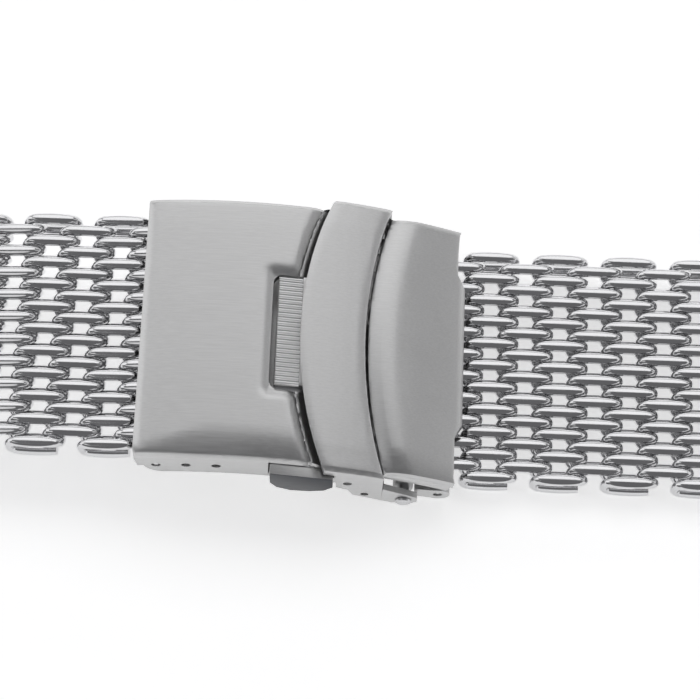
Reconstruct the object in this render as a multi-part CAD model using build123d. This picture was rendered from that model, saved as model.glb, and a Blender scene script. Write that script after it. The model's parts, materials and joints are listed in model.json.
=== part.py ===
from build123d import *
import os
from math import asin, cos, degrees, radians, sin, sqrt

# Woven mesh strap with a fold-over clasp for a 22 mm watch lug, laid out with the clasp closed.
# Millimetres. X runs along the strap, Y across it (front is -Y), Z up, table at Z = 0.
# The clasp is drawn about the axis that its cover bends round: x and z below are measured
# from that axis, and everything is moved to the table and centred at the end.

# Wire mesh
PITCH = 2.1  # from one turn of a coil to the next, across the strap
TURNS = 11  # top runs of an edge-to-edge coil
WIRE_WIDE = 0.76  # wire across the strap
WIRE_THICK = 0.75  # wire through the strap
LOOP_HALF = 2.2  # coil centre to the middle of the wire at either end of a loop
LOOP_RISE = 0.95  # middle plane to the middle of the wire of a top run
COLUMN = 3.1  # from one coil to the next, along the strap
COILS = 12  # coils in each half of the strap
MESH_HALF = LOOP_RISE + WIRE_THICK / 2  # half the thickness of the mesh
LOOP_END = LOOP_HALF + WIRE_THICK / 2  # coil centre to the outside of a loop
LOOP_CLEAR = LOOP_HALF - WIRE_THICK / 2  # coil centre to the inside of a loop

# Cover
BEND = 42.5  # outside radius of the cover
SHEET = 0.8
COVER_SHOULDER = 2.2  # width of the soft shoulder along each side
COVER_HALF = 12.0  # half the width over the side walls
COVER_LEFT = -9.0  # degrees from the top of the bend
COVER_RIGHT = 29.45
WALL_FOOT = 38.4  # radius of the lower edge of the side walls
WALL_CORNER = 1.6  # rounding of the lower left corner of each wall
LIP_FOOT = 41.3  # radius of the lower edge of the short wall beside the crown
CROWN = 43.3  # outside radius of the raised right part
CROWN_SLOPE = 0.36  # rise of its left bevel for each millimetre to the right
CROWN_HALF = 11.85
CROWN_GAP = 0.25  # from the safety bow to the crown
HOLLOW_START = 21.2  # degrees, where the hollow under the crown begins
TAB = 0.7  # reach of the middle of its right edge
TAB_HALF = (6.4, 7.6)  # half the width of that tab at its end and at its root
SEAT = 42.1  # radius of the seat pressed into the cover for the safety bow
SEAT_EDGE = 0.7  # from the bow to the rim of its seat
NOTCH = (4.7, 8.5, -5.45, 5.25)  # left, right, front and back of the notch for the thumb piece
NOTCH_ROUND = 0.8
WALL_IN = COVER_HALF - SHEET
UNDER = BEND - SHEET  # radius of the underside of the sheet

# Adjusting bar, in the first of three pairs of holes
BAR_DEPTH = 40.05
HOLE_ANGLES = (-6.7, -3.0, 0.7)
HOLE = 0.40

# Spring bars: tube, bore, collar of the tip, crimped mouth, tip
THIN_BAR = (0.52, 0.41, 0.38, 0.35, 0.32)
LUG_BAR = (0.75, 0.52, 0.48, 0.44, 0.40)
TIP_COLLAR = 1.2  # length of the collar inside the tube
TIP_SLACK = 0.02
CRIMP = 0.4  # length of the crimped mouth
BAR_PLAY = 0.05

# Fold: two blades on three pins
PIN = 0.5
KNUCKLE = 1.05
PIN_FIT = 0.03
FOLD_RIGHT = (16.5, 37.1)  # cover to upper blade
FOLD_LEFT = (-3.25, 37.2)  # upper blade to lower blade
BLADE = 0.8
UPPER_ARC = (6.6, 4.3, 34.35)  # centre and middle radius of the upper blade
LOWER_ARC = (4.5, 13.5, 23.7)
LOWER_END = 26.0  # degrees, where the lower blade's arc meets its flat tail
UPPER_HALF = 9.0
KNUCKLE_SPLIT = 4.0  # half the width of the middle knuckle on the left pin
GAP = 0.15

# Right end of the lower blade, with the bar that carries the right half of the strap
END_BAR = (19.65, 34.5)
EAR_IN = 11.05
EAR_OUT = 11.9
EAR_ROUND = 1.05
EAR_LEFT = 17.6
WEB_END = 18.1
TAIL_TOP = 34.85
TAIL_FOOT = 34.05
TAIL_HALF = 10.3

# Safety bow
BOW_PIVOT = (16.65, 34.9)
BOW_UNDER = 42.45
BOW_OVER = 43.1
BOW_FOOT = 41.9  # radius of the foot of its folded sides
BOW_SHOULDER = 2.4
ARM_IN = 12.1
ARM_OUT = 12.65
BOW_LEFT_EDGE = (9.7, 7.2)  # x at the sides and in the middle of the strap
BOW_RIGHT_EDGE = (14.8, 12.85)
ARM_HOLE = (13.25, 36.05)
ARM_HOLE_RADIUS = 0.35
ARM_DENT = (11.75, 38.6)
DENT_RADIUS = 0.4
DENT_DEEP = 0.25
RIVET = 0.5
RIVET_HEAD = 0.7
HEAD_FROM = 12.7
HEAD_TO = 13.05
LUG_IN = 10.6
LUG_OUT = 11.6
LUG_HALF = 0.8
RIBS = 24
RIB_PITCH = 0.42
RIB_HIGH = 0.18
THUMB_LEFT = 5.15
THUMB_RIGHT = 8.1
THUMB_UNDER = 41.75
THUMB_OVER = 42.35

# Push button and latch
CATCH_X = 7.8
BUTTON_HALF = 2.7
BUTTON_TOP = 40.8  # over the stud; the edge falls with the cover
BUTTON_FALL = 0.19  # fall of that edge for each millimetre to the right
BUTTON_FOOT = 37.1
BUTTON_OUT = 12.95
BUTTON_IN = 10.6
BUTTON_PLAY = 0.12
FLANGE_HALF = 3.2
FLANGE_FOOT = 38.8
FLANGE_DOWN = 0.85  # from the button's top to the flange's
HOOK_LOW = 39.25
HOOK_TOP = 39.8
HOOK_ARM = (-2.8, -1.7)  # x of the arm, measured from the latch stud
HOOK_LIP = 1.1  # reach of the hook past the stud's axis, along the strap
HOOK_FACE = 0.8  # from the stud's axis to the hook's catching edge
HOOK_BACK = 2.4
STUD_NECK = 0.6
STUD_HEAD = 1.3
STUD_FOOT = 36.75
HEAD_LOW = 39.9
HEAD_TOP = 40.35
SEAT_IN = 5.2
SEAT_OUT = 5.8
BUTTON_SPRING = 0.62
SPRING_X = 0.6  # sideways from the stud
SPRING_Z = 39.9
BRACKET_HALF = 2.6
BRACKET_SHEET = 0.35
TAB_WIDE = 1.9  # tab that seats the spring

# End pieces at the watch lugs
LUG_BAR_X = 4.2  # from the centre of the last coil
END_HALF = 10.8
END_LIP = 2.0
LUG_REACH = 11.9
LUG_NECK = 0.34  # neck of the tip, between the collar and the part that enters the watch
NECK_END = 10.85

# Where the strap lies
TABLE = END_BAR[1] - MESH_HALF  # height of the table in the clasp's own measure
DRAPE_START = 2.5  # coils of the left half that leave the clasp level
DRAPE_END = 11


def across(face, start, end):
    """A side-view shape carried across the strap from y = start to y = end."""
    return extrude(Pos(0, start, 0) * face, amount=end - start, dir=(0, 1, 0))


def side(points):
    """A side-view outline through points given as (x, z)."""
    return Plane.XZ * make_face(Polyline(*points, close=True))


def disc(centre, radius):
    return Plane.XZ * (Pos(centre[0], centre[1]) * Circle(radius))


def rod(centre, radius, start, end):
    return across(disc(centre, radius), start, end)


def facets(centre, radius, sides=12):
    """Round thing drawn with flats, its corners on the radius."""
    return Plane.XZ * (Pos(centre[0], centre[1]) * RegularPolygon(radius, sides))


def bore(centre, radius, start, end, sides=12):
    """Hole drawn with flats that touch the radius from outside."""
    flats = Plane.XZ * (Pos(centre[0], centre[1]) * RegularPolygon(radius, sides, major_radius=False))
    return across(flats, start, end)


def both(start, end, shape):
    """The same side-view shape on the front and on the back."""
    return across(shape, start, end) + across(shape, -end, -start)


def bend(section, start, end):
    """A section through points (y, radius), carried round the cover's bend between two angles."""
    outward = (sin(radians(start)), 0, cos(radians(start)))
    along = (cos(radians(start)), 0, -sin(radians(start)))
    plane = Plane(origin=(0, 0, 0), x_dir=(0, 1, 0), z_dir=along)
    face = plane * make_face(Polyline(*section, close=True))
    assert abs(plane.y_dir.dot(Vector(*outward)) - 1) < 1e-6
    return revolve(face, Axis((0, 0, 0), (0, 1, 0)), revolution_arc=end - start)


def arc_sheet(arc, half_thick, start, end):
    """Side view of a bent sheet: centre and radius of its middle line, between two angles."""
    cx, cz, radius = arc

    def point(angle, r):
        return (cx + r * sin(radians(angle)), cz + r * cos(radians(angle)))

    middle = (start + end) / 2
    outer = radius + half_thick
    inner = radius - half_thick
    over = ThreePointArc(point(start, outer), point(middle, outer), point(end, outer))
    under = ThreePointArc(point(end, inner), point(middle, inner), point(start, inner))
    right = Line(point(end, outer), point(end, inner))
    left = Line(point(start, inner), point(start, outer))
    return Plane.XZ * make_face(over + right + under + left)


def on_bend(angle, radius):
    return (radius * sin(radians(angle)), radius * cos(radians(angle)))


def bowed_edge(edge, half):
    """Plan view arc across the strap that bulges to the left in the middle."""
    return ThreePointArc((edge[0], -half), (edge[1], 0), (edge[0], half))


def channel(half, wall, over, under, foot, shoulder):
    """Section of a bent channel with soft shoulders: points (y, radius)."""
    drop = 0.2
    corner = 0.4
    right = [
        (half - shoulder, over),
        (half - corner, over - drop),
        (half, over - drop - corner),
        (half, foot),
        (wall, foot),
        (wall, under),
    ]
    return right + [(-y, r) for y, r in reversed(right)]


# Wire of the mesh
def loop_corner(x, z, y):
    """Inner point and the two outer points where the wire turns a corner of its loop."""
    sx = 1 if x > 0 else -1
    sz = 1 if z > 0 else -1
    half = WIRE_THICK / 2
    inner = (x - sx * half, z - sz * half)
    flat = (x - sx * half, z + sz * half)
    upright = (x + sx * half, z - sz * half)
    first, second = (upright, flat) if sx * sz < 0 else (flat, upright)
    return {"y": y, "in": inner, "first": first, "second": second}


def loop_cut(first, second, y):
    """The wire's end face: its inner and its outer edge."""
    return {"y": y, "in": first, "first": second, "second": second}


def full_coil_stations():
    """A coil that runs from edge to edge, with a flat ring at each edge."""
    stations = [loop_cut((LOOP_CLEAR, -MESH_HALF + WIRE_THICK), (LOOP_CLEAR, -MESH_HALF), 0)]
    stations.append(loop_corner(-LOOP_HALF, -LOOP_RISE, 0))
    for turn in range(TURNS):
        y = turn * PITCH
        stations.append(loop_corner(-LOOP_HALF, LOOP_RISE, y))
        stations.append(loop_corner(LOOP_HALF, LOOP_RISE, y))
        if turn < TURNS - 1:
            stations.append(loop_corner(LOOP_HALF, -LOOP_RISE, y + PITCH / 2))
            stations.append(loop_corner(-LOOP_HALF, -LOOP_RISE, y + PITCH / 2))
    last = (TURNS - 1) * PITCH
    stations.append(loop_corner(LOOP_HALF, -LOOP_RISE, last))
    stations.append(loop_cut((-LOOP_CLEAR, -MESH_HALF + WIRE_THICK), (-LOOP_CLEAR, -MESH_HALF), last))
    return stations


def nested_coil_stations():
    """The coil between two of those: one turn less, its ends hooked on its neighbours."""
    quarter = PITCH / 4
    stations = [loop_cut((-LOOP_CLEAR, 0), (-LOOP_END, 0), quarter)]
    for turn in range(TURNS - 1):
        y = turn * PITCH + PITCH / 2
        if turn:
            stations.append(loop_corner(LOOP_HALF, -LOOP_RISE, y - PITCH / 2))
            stations.append(loop_corner(-LOOP_HALF, -LOOP_RISE, y - PITCH / 2))
        stations.append(loop_corner(-LOOP_HALF, LOOP_RISE, y))
        stations.append(loop_corner(LOOP_HALF, LOOP_RISE, y))
    end = (TURNS - 1) * PITCH - quarter
    stations.append(loop_cut((LOOP_CLEAR, 0), (LOOP_END, 0), end))
    return stations


def wire_solid(stations):
    """Flat-sided wire through the stations of a coil, centred across the strap."""
    middle = (TURNS - 1) * PITCH / 2

    def corner(station, key, edge):
        x, z = station[key]
        return (x, station["y"] - middle + edge * WIRE_WIDE / 2, z)

    faces = []

    def add(*points):
        faces.append(Face(Wire.make_polygon([Vector(*p) for p in points], close=True)))

    for here, there in zip(stations, stations[1:]):
        for start, end in (("second", "first"), ("in", "in")):
            add(
                corner(here, start, -1),
                corner(here, start, 1),
                corner(there, end, 1),
                corner(there, end, -1),
            )
        for edge in (-1, 1):
            add(
                corner(here, "in", edge),
                corner(here, "second", edge),
                corner(there, "first", edge),
                corner(there, "in", edge),
            )
    for station in stations[1:-1]:
        add(
            corner(station, "first", -1),
            corner(station, "first", 1),
            corner(station, "second", 1),
            corner(station, "second", -1),
        )
        for edge in (-1, 1):
            add(
                corner(station, "in", edge),
                corner(station, "first", edge),
                corner(station, "second", edge),
            )
    for station in (stations[0], stations[-1]):
        add(
            corner(station, "in", -1),
            corner(station, "in", 1),
            corner(station, "first", 1),
            corner(station, "first", -1),
        )
    return Solid(Shell(faces))


# Where each coil lies
def right_places():
    """(x, z, slope) of the right-hand coils, flat on the table, from the clasp outwards."""
    first = END_BAR[0] + LOOP_CLEAR - THIN_BAR[0] - BAR_PLAY
    return [(first + COLUMN * k, END_BAR[1], 0.0) for k in range(COILS)]


def left_slopes(steepest):
    """Degrees by which each left-hand coil falls away from the clasp."""
    slopes = []
    for k in range(COILS):
        start = -HOLE_ANGLES[0] + 1.8 if k == 0 else 0.0
        share = (k - DRAPE_START) / (DRAPE_END - DRAPE_START)
        bump = sin(radians(180 * share)) ** 2 if 0 < share < 1 else 0.0
        slopes.append(start + steepest * bump + (3.0 if k == 1 else 0.0))
    return slopes


def left_chain(slopes):
    """(x, z, slope) of the left-hand coils, from the clasp outwards."""
    x, z = on_bend(HOLE_ANGLES[0], BAR_DEPTH)
    reach = LOOP_CLEAR - THIN_BAR[0] - BAR_PLAY
    places = []
    for slope in slopes:
        x -= reach * cos(radians(slope))
        z -= reach * sin(radians(slope))
        places.append((x, z, -slope))
        reach = COLUMN / 2
        x -= reach * cos(radians(slope))
        z -= reach * sin(radians(slope))
    return places


def left_places():
    """The left-hand coils, draped from the cover down to the table."""
    low, high = 0.0, 40.0
    for _ in range(40):
        steepest = (low + high) / 2
        if left_chain(left_slopes(steepest))[-1][1] > END_BAR[1]:
            low = steepest
        else:
            high = steepest
    return left_chain(left_slopes(low))


# Sub-parts of the clasp
def plan(edges, low=30, high=46):
    """A plan-view outline made of joined edges, as a tall block."""
    return extrude(Pos(0, 0, low) * make_face(edges), amount=high - low)


def crown_bevel(left):
    """Block whose sloping left face bevels the crown: it rises to the right from the cover's surface."""
    sections = []
    for rise in (-6.0, 4.0):
        run = rise / CROWN_SLOPE
        ends = [(x, sqrt(BEND**2 - x**2)) for x in left]
        at_side, at_middle = [x + run + (ends[0][1] - z) / CROWN_SLOPE for x, z in ends]
        edge = ThreePointArc((at_side, -COVER_HALF), (at_middle, 0), (at_side, COVER_HALF))
        rest = Polyline((at_side, COVER_HALF), (40, COVER_HALF), (40, -COVER_HALF), (at_side, -COVER_HALF))
        sections.append(Pos(0, 0, ends[0][1] + rise) * make_face(edge + rest))
    return loft(sections, ruled=True)


def bow_seat():
    """Shallow seat in the cover's top, from a rim left of the bow to just under the crown."""
    rim = [x - SEAT_EDGE for x in BOW_LEFT_EDGE]
    stop = [x + 2 * CROWN_GAP for x in BOW_RIGHT_EDGE]
    half = ARM_OUT
    edges = ThreePointArc((rim[0], -half), (rim[1], 0), (rim[0], half))
    edges += Line((rim[0], half), (stop[0], half))
    edges += ThreePointArc((stop[0], half), (stop[1], 0), (stop[0], -half))
    edges += Line((stop[0], -half), (rim[0], -half))
    layer = [(-half, SEAT), (-half, BEND + 1), (half, BEND + 1), (half, SEAT)]
    return bend(layer, 5, 24) & plan(edges)


def cover():
    section = channel(COVER_HALF, WALL_IN, BEND, UNDER, WALL_FOOT, COVER_SHOULDER)
    shell = bend(section, COVER_LEFT, COVER_RIGHT)
    # short wall beside the crown
    beside = degrees(asin(BOW_RIGHT_EDGE[0] / BEND))
    below = [(WALL_IN - 0.1, 30), (WALL_IN - 0.1, LIP_FOOT), (COVER_HALF + 1, LIP_FOOT), (COVER_HALF + 1, 30)]
    shell -= bend(below, beside, COVER_RIGHT + 2)
    shell -= bend([(-y, r) for y, r in below], beside, COVER_RIGHT + 2)
    shell -= bow_seat()
    # raised crown, pressed up from the sheet, its left edge bevelled
    half = CROWN_HALF
    crown = bend(
        [
            (-half, BEND - 0.7),
            (-half, CROWN - 0.6),
            (-half + 0.4, CROWN - 0.2),
            (-half + COVER_SHOULDER, CROWN),
            (half - COVER_SHOULDER, CROWN),
            (half - 0.4, CROWN - 0.2),
            (half, CROWN - 0.6),
            (half, BEND - 0.7),
        ],
        10,
        COVER_RIGHT + 3,
    )
    left = [x + CROWN_GAP for x in BOW_RIGHT_EDGE]
    right = BEND * sin(radians(COVER_RIGHT))
    edge = ThreePointArc((left[0], -ARM_OUT), (left[1], 0), (left[0], ARM_OUT))
    outline = edge + Polyline(
        (left[0], ARM_OUT),
        (right, ARM_OUT),
        (right, TAB_HALF[1]),
        (right + TAB, TAB_HALF[0]),
        (right + TAB, -TAB_HALF[0]),
        (right, -TAB_HALF[1]),
        (right, -ARM_OUT),
        (left[0], -ARM_OUT),
    )
    shell += crown & plan(outline) & crown_bevel(left)
    # room under the crown for the first coil of the right half
    room = LUG_IN - 0.2
    hollow = [(-room, UNDER - 1), (-room, BEND), (room, BEND), (room, UNDER - 1)]
    shell -= bend(hollow, HOLLOW_START, COVER_RIGHT + 4)
    # notch for the bow's thumb piece
    notch = Pos((NOTCH[0] + NOTCH[1]) / 2, (NOTCH[2] + NOTCH[3]) / 2) * RectangleRounded(
        NOTCH[1] - NOTCH[0], NOTCH[3] - NOTCH[2], NOTCH_ROUND
    )
    shell -= extrude(Pos(0, 0, 40) * notch, amount=5)
    # adjusting holes through both walls, button slot through the front one
    for angle in HOLE_ANGLES:
        shell -= bore(on_bend(angle, BAR_DEPTH), HOLE, -COVER_HALF - 1, COVER_HALF + 1)
    shell -= across(button_outline(BUTTON_PLAY), -COVER_HALF - 1, -WALL_IN + 0.5)
    # rounded lower corner at the left end of each wall
    corner_x, corner_z = on_bend(COVER_LEFT, WALL_FOOT)
    square = side(
        [
            (corner_x - 1, corner_z - 1),
            (corner_x - 1, corner_z + WALL_CORNER),
            (corner_x + WALL_CORNER + 0.2, corner_z + WALL_CORNER),
            (corner_x + WALL_CORNER + 0.2, corner_z - 1),
        ]
    )
    keep = disc((corner_x + WALL_CORNER + 0.28, corner_z + WALL_CORNER + 0.22), WALL_CORNER)
    shell -= across(square, -COVER_HALF - 1, COVER_HALF + 1) - across(keep, -COVER_HALF - 2, COVER_HALF + 2)
    # lugs for the fold pin and the bow's rivets
    pivot_x, pivot_z = BOW_PIVOT
    top = sqrt((UNDER + 0.3) ** 2 - pivot_x**2)
    lug = side(
        [
            (FOLD_RIGHT[0] - LUG_HALF, pivot_z),
            (FOLD_RIGHT[0] - LUG_HALF, top + 0.4),
            (pivot_x + LUG_HALF, top - 0.4),
            (pivot_x + LUG_HALF, pivot_z),
        ]
    )
    shell += both(LUG_IN, LUG_OUT, lug + facets(BOW_PIVOT, LUG_HALF))
    for centre, radius in ((FOLD_RIGHT, PIN), (BOW_PIVOT, RIVET)):
        shell -= bore(centre, radius, -COVER_HALF, COVER_HALF)
    return shell


def safety_bow():
    half = ARM_OUT
    section = channel(half, ARM_IN, BOW_OVER, BOW_UNDER, BOW_FOOT, BOW_SHOULDER)
    band = bend(section, 7, 22)
    left = bowed_edge(BOW_LEFT_EDGE, half)
    right = ThreePointArc((BOW_RIGHT_EDGE[0], half), (BOW_RIGHT_EDGE[1], 0), (BOW_RIGHT_EDGE[0], -half))
    back = Line((BOW_LEFT_EDGE[0], half), (BOW_RIGHT_EDGE[0], half))
    front = Line((BOW_RIGHT_EDGE[0], -half), (BOW_LEFT_EDGE[0], -half))
    bow = band & plan(left + back + right + front)
    # arms down to the rivets, cut away round the button
    button_side = CATCH_X + BUTTON_HALF + 0.25
    crest = BOW_UNDER - 0.3
    x0, x1 = BOW_LEFT_EDGE[0], BOW_RIGHT_EDGE[0]
    pivot_x, pivot_z = BOW_PIVOT
    arm = side(
        [
            (x0, sqrt(crest**2 - x0**2)),
            (x1, sqrt(crest**2 - x1**2)),
            (x1, pivot_z + 2.6),
            (pivot_x + 0.4, pivot_z + 1.15),
            (pivot_x + 1.2, pivot_z + 0.6),
            (pivot_x + 1.2, pivot_z - 0.35),
            (pivot_x + 0.7, pivot_z - 0.8),
            (pivot_x - 1.0, pivot_z - 0.78),
            (12.2, pivot_z + 0.9),
            (11.8, pivot_z + 2.1),
            (button_side, pivot_z + 2.7),
            (button_side, BUTTON_TOP - 0.1),
            (x0 + 0.15, BUTTON_TOP + 0.15),
        ]
    )
    bow += both(ARM_IN, ARM_OUT, arm)
    bow -= bore(BOW_PIVOT, RIVET + PIN_FIT, -half - 1, half + 1)
    bow -= bore(ARM_HOLE, ARM_HOLE_RADIUS, -half - 1, half + 1, 10)
    bow -= both(ARM_OUT - DENT_DEEP, half + 1, facets(ARM_DENT, DENT_RADIUS, 10))
    # thumb piece with its ribs, set down into the cover's notch
    ridge = RIBS * RIB_PITCH / 2
    crests = []
    for rib in range(RIBS):
        y = -ridge + rib * RIB_PITCH
        crests.append((y, THUMB_OVER - RIB_HIGH))
        crests.append((y + RIB_PITCH / 2, THUMB_OVER))
    crests.append((ridge, THUMB_OVER - RIB_HIGH))
    outline = [(-ridge, THUMB_UNDER)] + crests + [(ridge, THUMB_UNDER)]
    start = degrees(asin(THUMB_LEFT / THUMB_OVER))
    end = degrees(asin(THUMB_RIGHT / THUMB_OVER))
    bow += bend(outline, start, end)
    step = [(-ridge, THUMB_UNDER), (-ridge, BOW_UNDER + 0.2), (ridge, BOW_UNDER + 0.2), (ridge, THUMB_UNDER)]
    bow += bend(step, end - 1.2, end)
    return bow


def bow_rivets():
    shank = disc(BOW_PIVOT, RIVET)
    head = facets(BOW_PIVOT, RIVET_HEAD)
    rivets = []
    for sign in (-1, 1):
        rivet = across(shank, sign * LUG_IN, sign * HEAD_FROM)
        rivet += across(head, sign * HEAD_FROM, sign * HEAD_TO)
        rivets.append(rivet)
    return Compound(children=rivets)


def button_outline(grow):
    """Front face of a push button: straight top, half-moon foot. The slot is the same, grown."""
    half = BUTTON_HALF + grow
    foot = BUTTON_FOOT - grow
    fall = BUTTON_FALL * half
    return side(
        [
            (CATCH_X - half, BUTTON_TOP + grow + fall),
            (CATCH_X + half, BUTTON_TOP + grow - fall),
            (CATCH_X + half, foot + 1.2),
            (CATCH_X + half * 0.72, foot + 0.3),
            (CATCH_X + half * 0.25, foot),
            (CATCH_X - half * 0.35, foot + 0.1),
            (CATCH_X - half * 0.8, foot + 0.8),
            (CATCH_X - half, foot + 1.9),
        ]
    )


def button():
    """Push button in the front wall: cap, flange and the hook that reaches behind the stud."""
    body = across(button_outline(0), -BUTTON_OUT, -BUTTON_IN)
    drop = BUTTON_FALL * FLANGE_HALF
    flange = side(
        [
            (CATCH_X - FLANGE_HALF, FLANGE_FOOT),
            (CATCH_X - FLANGE_HALF, BUTTON_TOP - FLANGE_DOWN + drop),
            (CATCH_X + FLANGE_HALF, BUTTON_TOP - FLANGE_DOWN - drop),
            (CATCH_X + FLANGE_HALF, FLANGE_FOOT),
        ]
    )
    body += across(flange, -WALL_IN + 0.1, -BUTTON_IN)
    left, right = CATCH_X + HOOK_ARM[0], CATCH_X + HOOK_ARM[1]
    lip_end = CATCH_X + HOOK_LIP
    middle_z = (HOOK_TOP + HOOK_LOW) / 2
    arm = Box(right - left, WALL_IN + HOOK_BACK, HOOK_TOP - HOOK_LOW)
    body += Pos((left + right) / 2, -(WALL_IN - HOOK_BACK) / 2, middle_z) * arm
    lip = Box(lip_end - left, HOOK_BACK - HOOK_FACE, HOOK_TOP - HOOK_LOW)
    return body + Pos((left + lip_end) / 2, (HOOK_BACK + HOOK_FACE) / 2, middle_z) * lip


def button_spring():
    """Coil spring between the button and its seat, as its sleeve."""
    centre = (CATCH_X + SPRING_X, SPRING_Z)
    ring = facets(centre, BUTTON_SPRING, 10) - facets(centre, BUTTON_SPRING - 0.2, 10)
    return across(ring, -BUTTON_IN, -SEAT_OUT)


def catch_bracket():
    """Strap under the cover with a tab that seats the button's spring."""
    start = degrees(asin((CATCH_X - BRACKET_HALF) / UNDER))
    end = degrees(asin((CATCH_X + BRACKET_HALF) / UNDER))
    low = UNDER - BRACKET_SHEET
    strap = bend([(-SEAT_OUT, low), (-SEAT_OUT, UNDER), (SEAT_OUT, UNDER), (SEAT_OUT, low)], start, end)
    tab_x = CATCH_X + SPRING_X
    tab = side(
        [
            (tab_x - TAB_WIDE / 2, SPRING_Z - 0.8),
            (tab_x - TAB_WIDE / 2, SPRING_Z + TAB_WIDE / 2),
            (tab_x + TAB_WIDE / 2, SPRING_Z + TAB_WIDE / 2),
            (tab_x + TAB_WIDE / 2, SPRING_Z - 0.8),
        ]
    )
    under = [(-SEAT_OUT, UNDER - 4), (-SEAT_OUT, UNDER), (SEAT_OUT, UNDER), (SEAT_OUT, UNDER - 4)]
    return strap + (across(tab, -SEAT_OUT, -SEAT_IN) & bend(under, start - 2, end + 2))


def upper_blade():
    cx, cz, radius = UPPER_ARC
    start = -degrees(asin((cx - FOLD_LEFT[0]) / radius))
    end = degrees(asin((FOLD_RIGHT[0] - cx) / radius))
    sheet = arc_sheet(UPPER_ARC, BLADE / 2, start, end)
    blade = across(sheet, -UPPER_HALF, UPPER_HALF)
    blade += across(facets(FOLD_RIGHT, KNUCKLE), -LUG_IN + GAP, LUG_IN - GAP)
    blade -= both(KNUCKLE_SPLIT, UPPER_HALF + 1, facets(FOLD_LEFT, KNUCKLE + 0.3))
    blade += across(facets(FOLD_LEFT, KNUCKLE), -KNUCKLE_SPLIT, KNUCKLE_SPLIT)
    window = Pos(CATCH_X, 0, 36) * SlotOverall(2 * STUD_HEAD + 2.2, 2 * STUD_HEAD + 0.9)
    blade -= extrude(window, amount=5)
    for centre in (FOLD_LEFT, FOLD_RIGHT):
        blade -= bore(centre, PIN + PIN_FIT, -COVER_HALF, COVER_HALF)
    return blade


def lower_blade():
    cx, cz, radius = LOWER_ARC
    start = -degrees(asin((cx - FOLD_LEFT[0]) / radius))
    sheet = arc_sheet(LOWER_ARC, BLADE / 2, start, LOWER_END)
    blade = across(sheet, -UPPER_HALF, UPPER_HALF)
    bend_x = cx + radius * sin(radians(LOWER_END))
    bend_z = cz + radius * cos(radians(LOWER_END))
    dx = BLADE / 2 * sin(radians(LOWER_END))
    dz = BLADE / 2 * cos(radians(LOWER_END))
    tail = side(
        [
            (bend_x - dx - 0.2, bend_z - dz + 0.1),
            (bend_x + dx - 0.2, bend_z + dz + 0.1),
            (bend_x + 1.1, TAIL_TOP),
            (EAR_LEFT, TAIL_TOP),
            (EAR_LEFT, TAIL_FOOT),
            (bend_x + 0.4, TAIL_FOOT),
        ]
    )
    blade += across(tail, -TAIL_HALF, TAIL_HALF)
    yoke = side([(EAR_LEFT, TAIL_FOOT), (EAR_LEFT, TAIL_TOP), (WEB_END, TAIL_TOP), (WEB_END, TAIL_FOOT)])
    blade += across(yoke, -EAR_OUT, EAR_OUT)
    ear = side(
        [
            (EAR_LEFT, TAIL_FOOT),
            (EAR_LEFT, TAIL_TOP + 0.9),
            (END_BAR[0] - 0.6, END_BAR[1] + EAR_ROUND),
            (END_BAR[0], END_BAR[1] + EAR_ROUND),
            (END_BAR[0], END_BAR[1] - EAR_ROUND),
        ]
    )
    blade += both(EAR_IN, EAR_OUT, ear + facets(END_BAR, EAR_ROUND, 16))
    # knuckles either side of the upper blade's
    strap = side(
        [
            (FOLD_LEFT[0] - 0.6, FOLD_LEFT[1]),
            (FOLD_LEFT[0] + 0.9, FOLD_LEFT[1]),
            (FOLD_LEFT[0] + 1.3, FOLD_LEFT[1] - 1.4),
            (FOLD_LEFT[0], FOLD_LEFT[1] - 1.5),
        ]
    )
    blade -= across(facets(FOLD_LEFT, KNUCKLE + 0.3), -KNUCKLE_SPLIT - GAP, KNUCKLE_SPLIT + GAP)
    blade += both(KNUCKLE_SPLIT + GAP, UPPER_HALF, strap + facets(FOLD_LEFT, KNUCKLE))
    blade -= bore(FOLD_LEFT, PIN, -COVER_HALF, COVER_HALF)
    blade -= bore(END_BAR, HOLE, -COVER_HALF, COVER_HALF)
    return blade - upright(STUD_NECK, TAIL_FOOT, HEAD_LOW)


def upright(radius, low, high):
    """Upright post at the latch, between two heights."""
    return extrude(Pos(CATCH_X, 0, low) * RegularPolygon(radius, 12), amount=high - low)


def latch_stud():
    return upright(STUD_NECK, STUD_FOOT, HEAD_LOW) + upright(STUD_HEAD, HEAD_LOW, HEAD_TOP)


def bar_tube(centre, sizes, half):
    """Tube of a spring bar, its mouths crimped in to hold the tips."""
    outer, inside, _collar, mouth, _tip = sizes
    tube = across(facets(centre, outer), -half, half)
    tube -= bore(centre, mouth, -half - 1, half + 1)
    tube -= bore(centre, inside, -half + CRIMP, half - CRIMP)
    return tube


def bar_tip(centre, sizes, half, reach, sign):
    """Sliding tip of a spring bar, with the collar that stays in the tube."""
    _outer, _bore, collar, _mouth, tip = sizes
    shoulder = half - CRIMP - TIP_SLACK
    if sizes is LUG_BAR:
        shape = across(disc(centre, tip), *sorted((sign * NECK_END, sign * reach)))
        shape += across(facets(centre, LUG_NECK, 8), *sorted((sign * shoulder, sign * NECK_END)))
    else:
        shape = across(facets(centre, tip, 8), *sorted((sign * shoulder, sign * reach)))
    shape += across(facets(centre, collar, 8), *sorted((sign * (shoulder - TIP_COLLAR), sign * shoulder)))
    return shape


def bar_spring(centre, sizes, half):
    """Spring inside a bar, between the two collars, as its sleeve."""
    inner = half - CRIMP - TIP_SLACK - TIP_COLLAR
    return across(facets(centre, sizes[2] - 0.04, 8), -inner, inner)


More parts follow.
